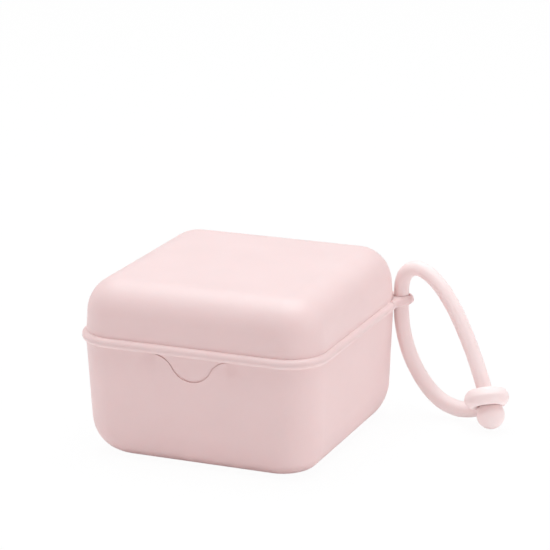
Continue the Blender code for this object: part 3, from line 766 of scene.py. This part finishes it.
def cut_tab(shape, shells, tab, top):
    """Replace part of the base's front wall by a panel with the grooved thumb tab in it."""
    slope = Vector((0, shells.sizes.base_draft, shells.sizes.base_curve_rise - shells.shoulder)).normalized()
    origin = Vector((0, -shells.wall_half(top), top))
    inwards = Vector((0, -slope.z, slope.y))

    def point(x, down, depth):
        return origin + Vector((x, 0, 0)) + slope * down + inwards * depth

    low = top - 10.9 * MM
    reach = 20.5 * MM
    gone = []
    for face in shape.faces:
        middle = face.calc_center_median()
        if middle.y < -shells.low_half and abs(middle.x) < reach and low < middle.z < top + 0.04 * MM:
            gone.append(face)
    bmesh.ops.delete(shape, geom=gone, context="FACES")
    shape.verts.ensure_lookup_table()
    rim = [edge for edge in shape.edges if edge.is_boundary]
    outline = tab_outline(tab)
    layers = []
    for number, (p, n) in enumerate(outline):
        down = -p.y
        open_here = 0 < number < len(outline) - 1
        sink = tab.sink * down / tab.drop
        lip = tab.rim * min(1.0, down / (3 * tab.rim))
        stack = [(lip * 3, 0.0)]
        stack += [(lip + x, lip - z) for x, z in arc(lip, lip, 90, 180, 3)]
        stack += [(0.0, tab.groove_depth), (-tab.groove_width, tab.groove_depth)]
        for step in range(9):
            part = step / 8
            stack.append((-tab.groove_width - tab.edge * part, sink + tab.edge_drop * (1 - part) ** 2))
        stack.append((-tab.groove_width - tab.edge * 1.1, sink))
        places = [(p + n * out, depth) if open_here else (p, 0.0) for out, depth in stack]
        layers.append([(Vector((place.x, min(0.0, place.y))), depth) for place, depth in places])
    levels = len(layers[0])
    rows = [[shape.verts.new(point(q.x, -q.y, d)) for q, d in column] for column in layers]
    for first, second in zip(rows[:-1], rows[1:]):
        for level in range(levels - 1):
            corners = (first[level], first[level + 1], second[level + 1], second[level])
            shape.faces.new(corners)

    def project(vert):
        away = vert.co - origin
        return Vector((away.x, -away.dot(slope)))

    def triangulate(border, depth_of, keep):
        """Fill a flat area between loops of vertices."""
        verts = []
        edges = []
        for loop, closed in border:
            start = len(verts)
            verts += loop
            edges += [(start + k, start + k + 1) for k in range(len(loop) - 1)]
            if closed:
                edges.append((len(verts) - 1, start))
        flat_points = [project(vert) for vert in verts]
        result = delaunay_2d_cdt(flat_points, edges, [], 0, 1e-8)
        made = []
        for index, place in enumerate(result[0]):
            origins = result[3][index]
            if origins:
                made.append(verts[origins[0]])
            else:
                made.append(shape.verts.new(point(place.x, -place.y, depth_of(-place.y))))
        for face in result[2]:
            middle = sum((result[0][k] for k in face), Vector((0, 0))) / len(face)
            if keep(middle):
                shape.faces.new([made[k] for k in face])

    outer = [column[0] for column in rows]
    inner = [column[-1] for column in rows]
    rim_loop = ordered_loop(rim)
    outer_polygon = [project(vert) for vert in outer]
    inner_polygon = [project(vert) for vert in inner]
    triangulate(
        [(rim_loop, True), (outer, True)],
        lambda down: 0.0,
        lambda middle: inside(middle, [project(v) for v in rim_loop]) and not inside(middle, outer_polygon),
    )
    triangulate([(inner, True)], lambda down: tab.sink * down / tab.drop, lambda middle: inside(middle, inner_polygon))
    bmesh.ops.remove_doubles(shape, verts=shape.verts, dist=2e-7)
    loose = [face for face in shape.faces if face.calc_area() < 1e-16]
    bmesh.ops.delete(shape, geom=loose, context="FACES")
    bmesh.ops.recalc_face_normals(shape, faces=shape.faces)


def ordered_loop(edges):
    """The vertices of one closed loop of edges, in order."""
    left = set(edges)
    edge = left.pop()
    start, here = edge.verts
    loop = [start, here]
    while left:
        following = next((e for e in here.link_edges if e in left), None)
        if following is None:
            break
        left.discard(following)
        here = following.other_vert(here)
        if here is start:
            break
        loop.append(here)
    return loop


def inside(place, polygon):
    """Whether a flat point lies in a polygon."""
    found = False
    for a, b in zip(polygon, polygon[1:] + polygon[:1]):
        if (a.y > place.y) != (b.y > place.y):
            if place.x < (b.x - a.x) * (place.y - a.y) / (b.y - a.y) + a.x:
                found = not found
    return found


def eye_plan(shells, strap):
    """Outline of the eye and its root in plan: points with the bearing that they face, front to back."""
    middle = Vector((shells.centre, shells.centre))
    eye = Vector((strap.eye_x, strap.eye_y))
    hollow = Vector((shells.bead_half + strap.eye_fillet, shells.centre + strap.root_start))
    span = eye - hollow
    turn = math.atan2(span.y, span.x) - math.asin((strap.eye_fillet + strap.eye_radius) / span.length) - math.pi / 2
    bearing = math.atan2(eye.y - middle.y, eye.x - middle.x)
    front = [(Vector((shells.bead_half, shells.centre + strap.root_gap)), 0.0)]
    for step in range(11):
        angle = turn * step / 10
        front.append((hollow - Vector((math.cos(angle), math.sin(angle))) * strap.eye_fillet, angle))
    for step in range(31):
        angle = turn + (bearing - turn) * step / 30
        front.append((eye + Vector((math.cos(angle), math.sin(angle))) * strap.eye_radius, angle))
    back = []
    for point, angle in reversed(front[:-1]):
        away = point - middle
        back.append((middle + Matrix.Rotation(2 * bearing, 2) @ Vector((away.x, -away.y)), 2 * bearing - angle))
    return front + back


def eye_piece(shells, strap, material):
    """The eye with its root, both with the bead's round edge, and the lid's wall kept clear."""
    s = shells.sizes
    middle = Vector((shells.centre, shells.centre))
    seam = s.base_height + s.seam / 2
    wall = s.lid_corner + strap.root_gap
    eye_reach = (Vector((strap.eye_x, strap.eye_y)) - middle).length + strap.eye_radius
    shape = bmesh.new()
    columns = []
    for point, angle in eye_plan(shells, strap):
        facing = Vector((math.cos(angle), math.sin(angle)))
        inner = middle + (point - middle).normalized() * strap.root_inner
        out = min(1.0, max(0.0, (point - middle).length - wall) / (eye_reach - wall))
        rise = strap.root_rise + (strap.eye_rise - strap.root_rise) * out
        section = [(inner, -strap.eye_drop)]
        for x, z in arc(s.bead_reach, 1, -90, 90, 24):
            place = point - facing * (s.bead_reach - x)
            section.append((place, z * (rise if z > 0 else strap.eye_drop)))
        section.append((inner, strap.root_rise))
        columns.append([shape.verts.new((place.x, place.y, seam + z)) for place, z in section])
    for column, following in zip(columns[:-1], columns[1:]):
        for index in range(len(column)):
            beside = (index + 1) % len(column)
            shape.faces.new((column[index], column[beside], following[beside], following[index]))
    shape.faces.new(columns[0])
    shape.faces.new(columns[-1])
    bmesh.ops.recalc_face_normals(shape, faces=shape.faces)
    root = smooth_object("eye_root", shape, material)
    high = s.base_height + 5 * MM
    profile = [(0, s.base_height), (wall, s.base_height), (wall, high), (0, high)]
    space = turned("space", profile, 180, (shells.centre, shells.centre, 0), False)
    combine(root, space, "DIFFERENCE")
    piece = baked(root, "eye_root", material)
    drop(space)
    return piece


def eye_bore(shells, strap):
    """The eye's hole with softened edges."""
    seam = shells.sizes.base_height + shells.sizes.seam / 2
    edge = strap.eye_edge
    wide = strap.cord / 2 + strap.eye_gap + edge
    low, high = seam - strap.eye_drop, seam + strap.eye_rise
    profile = [(0, low - MM), (wide, low - MM)]
    profile += [(wide + x, low + edge + z) for x, z in arc(edge, edge, -90, -180, 4)]
    profile += [(wide + x, high - edge + z) for x, z in arc(edge, edge, 180, 90, 4)]
    profile += [(wide, high + MM), (0, high + MM)]
    return turned("bore", profile, 96, (strap.eye_x, strap.eye_y, 0), False)


def root_notch(shells, strap):
    """What the lid's bead leaves free for the eye's root: a wedge outside the lid's wall."""
    reach = 24 * MM
    bearing = 2 * math.atan2(strap.eye_y - shells.centre, strap.eye_x - shells.centre)
    low, high = shells.rim - 2 * MM, shells.rim + shells.sizes.bead_height + 0.05 * MM
    corners = [(0, 0), (reach, 0), (reach, reach), (reach * math.cos(bearing), reach * math.sin(bearing))]
    shape = bmesh.new()
    rings = []
    for height in (low, high):
        rings.append([shape.verts.new((shells.centre + x, shells.centre + y, height)) for x, y in corners])
    for index in range(4):
        beside = (index + 1) % 4
        shape.faces.new((rings[0][index], rings[0][beside], rings[1][beside], rings[1][index]))
    shape.faces.new(rings[0])
    shape.faces.new(rings[1])
    bmesh.ops.recalc_face_normals(shape, faces=shape.faces)
    notch = smooth_object("notch", shape, bpy.data.materials["shell_plastic"])
    keep = shells.sizes.lid_corner - 0.02 * MM
    profile = [(0, low - MM), (keep, low - MM), (keep, high + MM), (0, high + MM)]
    core = turned("core", profile, 4 * shells.sizes.corner_steps, (shells.centre, shells.centre, 0), False)
    combine(notch, core, "DIFFERENCE")
    piece = baked(notch, "notch", bpy.data.materials["shell_plastic"])
    drop(core)
    return piece


def snap_rib(shells, name, gap):
    """The snap rib on the lip's front, or with a gap the groove in the lid that takes it."""
    s = shells.sizes
    radius = s.rib_radius + gap
    end = s.rib_half + gap - radius
    profile = [(x, z + end) for x, z in arc(radius, radius, 90, 0, 8)]
    profile += [(x, z - end) for x, z in arc(radius, radius, 0, -90, 8)]
    profile[0], profile[-1] = (0, profile[0][1]), (0, profile[-1][1])
    rib = turned(name, profile, 32, (0, 0, 0), False)
    place = Vector((0, s.rib_radius - s.rib_reach - shells.lip_half, s.base_height + s.rib_rise))
    rib.data.transform(Matrix.Translation(place) @ Matrix.Rotation(math.pi / 2, 4, "Y"))
    return rib


def hinge_ledge(shells):
    """The ledge on the base's back wall that carries the hinge's web."""
    reach = 27 * MM
    low = (-reach, shells.sizes.base_half - MM, shells.sizes.base_height - 1.3 * MM)
    high = (reach, shells.bead_half, shells.sizes.base_height)
    ledge = block("ledge", low, high)
    bevel = ledge.modifiers.new("Bevel", "BEVEL")
    bevel.width = 0.4 * MM
    bevel.segments = 4
    return ledge


def strap_place(strap, point):
    """A point of the strap's own frame (out, away, up) in the box's frame."""
    out, away, up = point
    turn = Matrix.Rotation(strap.bearing, 3, "Z")
    return Vector((strap.eye_x, strap.eye_y, 0)) + turn @ Vector((out, away, 0)) + Vector((0, 0, up))


def smooth_route(points, spacing):
    """Even points along a smooth curve through the route's own points."""
    padded = [points[0] * 2 - points[1], *points, points[-1] * 2 - points[-2]]
    fine = []
    for before, start, end, after in zip(padded, padded[1:], padded[2:], padded[3:]):
        for step in range(8):
            t = step / 8
            pull = (end - before) * t + (before * 2 - start * 5 + end * 4 - after) * t ** 2
            fine.append(start + (pull + (start * 3 - before - end * 3 + after) * t ** 3) / 2)
    fine.append(points[-1])
    distances = [0.0]
    for first, second in zip(fine[:-1], fine[1:]):
        distances.append(distances[-1] + (second - first).length)
    total = max(2, round(distances[-1] / spacing))
    even = [fine[0]]
    place = 0
    for number in range(1, total):
        target = distances[-1] * number / total
        while distances[place + 1] < target:
            place += 1
        part = (target - distances[place]) / (distances[place + 1] - distances[place])
        even.append(fine[place].lerp(fine[place + 1], part))
    return even + [fine[-1]]


def relaxed(points, rounds):
    """Take the small kinks out of evenly spaced points, with the ends held."""
    for _ in range(rounds):
        middle = [(a + b * 2 + c) / 4 for a, b, c in zip(points, points[1:], points[2:])]
        points = [points[0], *middle, points[-1]]
    return points


class MESH_OT_pacifier_materials(bpy.types.Operator):
    """Make the plastic and the silicone"""

    bl_idname = "mesh.pacifier_materials"
    bl_label = "Plastic and silicone"

    def execute(self, context):
        finishes = context.scene.pacifier_finishes
        moulded_material("shell_plastic", finishes.shell, 0.46, 0.00035, 0.00004, 0.12)
        moulded_material("strap_silicone", finishes.silicone, 0.52, 0.0005, 0.00003, 0.1)
        return {"FINISHED"}


class MESH_OT_pacifier_base(bpy.types.Operator):
    """Build the base with its lip, thumb tab, hinge ledge and eye"""

    bl_idname = "mesh.pacifier_base"
    bl_label = "Base"

    def execute(self, context):
        scene = context.scene
        material = bpy.data.materials["shell_plastic"]
        shells = Shells(scene.pacifier_shells)
        top = shells.shoulder - 0.12 * MM
        rows = (20 * MM, 26.4 * MM, 26.55 * MM, 32 * MM, top + 0.0001 * MM)
        shape = shells.loft(shells.base_stations(rows), material)
        cut_tab(shape, shells, scene.pacifier_tab, top)
        base = smooth_object("base_body", shape, material)
        eye = eye_piece(shells, scene.pacifier_strap, material)
        bore = eye_bore(shells, scene.pacifier_strap)
        ledge = hinge_ledge(shells)
        rib = snap_rib(shells, "rib", 0)
        combine(base, eye, "UNION")
        combine(base, bore, "DIFFERENCE")
        combine(base, ledge, "UNION")
        combine(base, rib, "UNION")
        base = baked(base, "base_body", material)
        drop(eye, bore, ledge, rib)
        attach(base, "base")
        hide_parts("base_shell")
        return {"FINISHED"}


class MESH_OT_pacifier_lid(bpy.types.Operator):
    """Build the lid with its bead and the notch for the eye"""

    bl_idname = "mesh.pacifier_lid"
    bl_label = "Lid"

    def execute(self, context):
        scene = context.scene
        material = bpy.data.materials["shell_plastic"]
        shells = Shells(scene.pacifier_shells)
        shape = shells.loft(shells.lid_stations(), material)
        lid = smooth_object("lid_body", shape, material)
        notch = root_notch(shells, scene.pacifier_strap)
        groove = snap_rib(shells, "groove", shells.sizes.rib_gap)
        combine(lid, notch, "DIFFERENCE")
        combine(lid, groove, "DIFFERENCE")
        lid = baked(lid, "lid_body", material)
        drop(notch, groove)
        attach(lid, "lid")
        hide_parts("lid_shell")
        return {"FINISHED"}


class MESH_OT_pacifier_hinge(bpy.types.Operator):
    """Build the web of the living hinge"""

    bl_idname = "mesh.pacifier_hinge"
    bl_label = "Living hinge"

    def execute(self, context):
        shells = Shells(context.scene.pacifier_shells)
        s = shells.sizes
        middle, half = 0.85 * MM, 0.2 * MM
        out = arc(middle + half, middle + half, -90, 90, 24)
        back = arc(middle - half, middle - half, 90, -90, 24)
        z = s.base_height + s.seam / 2
        y = shells.bead_half + 0.3 * MM
        shape = bmesh.new()
        columns = 41
        rings = []
        for index in range(columns):
            x = (index / (columns - 1) - 0.5) * 50 * MM
            rings.append([shape.verts.new((x, y + a, z + b)) for a, b in out + back])
        for ring, following in zip(rings[:-1], rings[1:]):
            for k in range(len(ring)):
                beside = (k + 1) % len(ring)
                shape.faces.new((ring[k], ring[beside], following[beside], following[k]))
        shape.faces.new(rings[0])
        shape.faces.new(rings[-1])
        bmesh.ops.recalc_face_normals(shape, faces=shape.faces)
        web = smooth_object("hinge_web", shape, bpy.data.materials["shell_plastic"], 50)
        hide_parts("living_hinge")
        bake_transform(web)
        return {"FINISHED"}


class MESH_OT_pacifier_strap(bpy.types.Operator):
    """Build the silicone strap: its cord, its ring and its ball"""

    bl_idname = "mesh.pacifier_strap"
    bl_label = "Strap"

    def execute(self, context):
        strap = context.scene.pacifier_strap
        material = bpy.data.materials["strap_silicone"]
        # The tree keeps its ridge level, so the strap's own plane is laid flat while it is made.
        route = [Vector((out, up, away)) * MM for out, away, up in STRAP_ROUTE]
        flat = relaxed(smooth_route(route, 0.8 * MM), 2)
        curve = bpy.data.curves.new("strap_path", "CURVE")
        curve.dimensions = "3D"
        spline = curve.splines.new("POLY")
        spline.points.add(len(flat) - 1)
        for point, place in zip(spline.points, flat):
            point.co = (*place, 1)
        values = {"Radius": strap.cord / 2, "Ridge": strap.parting, "Steps": 72, "Material": material}
        mesh = grown(cord_tree(), linked("strap_path", curve), values)
        path = [strap_place(strap, (p.x, p.z, p.y)) for p in flat]
        turn = Matrix.Rotation(strap.bearing, 4, "Z") @ Matrix.Rotation(math.pi / 2, 4, "X")
        mirror = Matrix.Scale(-1, 4, (0, 0, 1))
        mesh.transform(Matrix.Translation((strap.eye_x, strap.eye_y, 0)) @ turn @ mirror)
        shape = closed_shape(mesh)
        cord = smooth_object("strap_loop", shape, material, 60)
        ball_at = strap_place(strap, Vector(BALL_AT) * MM)
        ring_at = strap_place(strap, Vector(RING_AT) * MM)
        ring = self.ring(strap, ring_at, path, material)
        ball = self.ball(strap, ball_at, (path[-1] - ball_at).normalized(), material)
        for piece, node in ((cord, "strap_cord"), (ring, "strap_ring"), (ball, "strap_ball")):
            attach(piece, "strap")
            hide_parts(node)
        total = sum((b - a).length for a, b in zip(path[:-1], path[1:]))
        return {"FINISHED"}

    @staticmethod
    def ring(strap, centre, path, material):
        """A fat ring with the mould's parting line round it, and the root that the cord grows from."""
        half = strap.ring_section / 2
        section = []
        for step in range(144):
            angle = math.radians(90 - step * 2.5)
            crease = max(0.0, 1 - abs(angle) / math.radians(28)) * strap.ring_parting
            section.append((strap.ring - half + (half + crease) * math.cos(angle), strap.ring_height / 2 * math.sin(angle)))
        item = turned("strap_ring_soft", section, 144, (0, 0, 0))
        turn = Matrix.Rotation(strap.bearing, 3, "Z") @ Vector(RING_AXIS)
        item.data.transform(Matrix.Translation(centre) @ turn.to_track_quat("Z", "Y").to_matrix().to_4x4())
        along = (path[0] - path[3]).normalized()
        radius = strap.cord / 2
        stub = [(0, -1.6 * MM), (radius - 0.01 * MM, -1.6 * MM), (radius + 0.04 * MM, -1.1 * MM)]
        stub += [(x * 1.016, 0.15 * MM + z) for x, z in arc(radius, radius, 0, 90, 16)[:-1]]
        stub += [(0, 0.15 * MM + radius)]
        root = turned("root", stub, 72, (0, 0, 0), False)
        root.data.transform(Matrix.Translation(path[0]) @ along.to_track_quat("Z", "Y").to_matrix().to_4x4())
        combine(item, root, "UNION")
        ring = baked(item, "strap_ring_soft", material, 60)
        drop(root)
        return ring

    @staticmethod
    def ball(strap, centre, axis, material):
        """A ball that holds the cord's end."""
        profile = [(0, strap.ball)] + arc(strap.ball, strap.ball, 90, -90, 64)[1:-1] + [(0, -strap.ball)]
        item = turned("strap_ball_soft", profile, 96, (0, 0, 0), False)
        item.data.transform(Matrix.Translation(centre) @ axis.to_track_quat("Z", "Y").to_matrix().to_4x4())
        return baked(item, "strap_ball_soft", material, 60)


class MESH_OT_pacifier_stage(bpy.types.Operator):
    """Set up the floor, the lamps and the camera"""

    bl_idname = "mesh.pacifier_stage"
    bl_label = "Floor, lamps and camera"

    def execute(self, context):
        scene = context.scene
        scene.view_settings.view_transform = "Standard"
        self.floor(scene.pacifier_stage)
        self.world(scene)
        self.lamps()
        self.camera(scene)
        return {"FINISHED"}

    @staticmethod
    def floor(stage):
        shape = bmesh.new()
        bmesh.ops.create_grid(shape, x_segments=2, y_segments=2, size=3)
        floor = smooth_object("floor", shape, floor_material(stage))

    @staticmethod
    def world(scene):
        stage = scene.pacifier_stage
        world = bpy.data.worlds.new("studio")
        world.use_nodes = True
        world.node_tree.nodes.clear()
        make = Maker(world.node_tree)
        path = make.node("ShaderNodeLightPath")
        seen = path.out("Is Camera Ray").maths("MAXIMUM", path.out("Is Camera Ray"), path.out("Is Transmission Ray"))
        glow = make.node("ShaderNodeBackground", {}, {"Color": (*stage.surround_tint, 1), "Strength": stage.surround})
        white = make.node("ShaderNodeBackground", {}, {"Color": (1, 1, 1, 1), "Strength": 1.0})
        mixed = make.node("ShaderNodeMixShader", {}, {0: seen, 1: glow, 2: white})
        make.node("ShaderNodeOutputWorld", {}, {"Surface": mixed})
        scene.world = world

    @staticmethod
    def lamps():
        for name, place, size, power, tint in LAMPS:
            lamp = bpy.data.lights.new(name, "AREA")
            lamp.shape = "RECTANGLE"
            lamp.size, lamp.size_y = size
            lamp.energy = power
            lamp.color = tint
            item = linked(name, lamp)
            away = Vector(place) - Vector((0, 0, 0.03))
            item.matrix_world = Matrix.Translation(place) @ away.to_track_quat("Z", "Y").to_matrix().to_4x4()

    @staticmethod
    def camera(scene):
        stage = scene.pacifier_stage
        a, e, r = (math.radians(x) for x in (stage.azimuth, stage.elevation, stage.roll))
        back = Vector((math.sin(a) * math.cos(e), -math.cos(a) * math.cos(e), math.sin(e)))
        right = (-back).cross(Vector((0, 0, 1))).normalized()
        up = right.cross(-back)
        across = right * math.cos(r) + up * math.sin(r)
        upright = up * math.cos(r) - right * math.sin(r)
        place = Vector((0, 0, stage.aim)) + back * stage.distance + across * stage.across + upright * stage.raised
        data = bpy.data.cameras.new("camera")
        data.lens = stage.lens
        data.sensor_width = 36
        item = linked("camera", data)
        turn = Matrix((across, upright, back)).transposed().to_4x4()
        item.matrix_world = Matrix.Translation(place) @ turn
        scene.camera = item


class VIEW3D_PT_pacifier(bpy.types.Panel):
    bl_label = "Pacifier box"
    bl_space_type = "VIEW_3D"
    bl_region_type = "UI"
    bl_category = "Pacifier box"

    def draw(self, context):
        for name in GROUPS:
            group = getattr(context.scene, name)
            for item in group.bl_rna.properties:
                if item.identifier not in ("rna_type", "name"):
                    self.layout.prop(group, item.identifier)
        for operator in STEPS:
            self.layout.operator(operator.bl_idname)


GROUPS = {
    "pacifier_shells": ShellSizes,
    "pacifier_tab": TabSizes,
    "pacifier_strap": StrapSizes,
    "pacifier_finishes": Finishes,
    "pacifier_stage": StageSizes,
}
STEPS = (
    MESH_OT_pacifier_materials,
    MESH_OT_pacifier_stage,
    MESH_OT_pacifier_strap,
    MESH_OT_pacifier_base,
    MESH_OT_pacifier_lid,
    MESH_OT_pacifier_hinge,
)


def register():
    for item in (*GROUPS.values(), *STEPS, VIEW3D_PT_pacifier):
        bpy.utils.register_class(item)
    for name, group in GROUPS.items():
        setattr(bpy.types.Scene, name, bpy.props.PointerProperty(type=group))


def unregister():
    for name in GROUPS:
        delattr(bpy.types.Scene, name)
    for item in (VIEW3D_PT_pacifier, *STEPS, *GROUPS.values()):
        bpy.utils.unregister_class(item)


def main():
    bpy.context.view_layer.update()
    register()
    bpy.ops.mesh.pacifier_materials()
    bpy.ops.mesh.pacifier_stage()
    bpy.ops.mesh.pacifier_strap()
    bpy.ops.mesh.pacifier_base()
    bpy.ops.mesh.pacifier_lid()
    bpy.ops.mesh.pacifier_hinge()


if __name__ == "__main__":
    main()
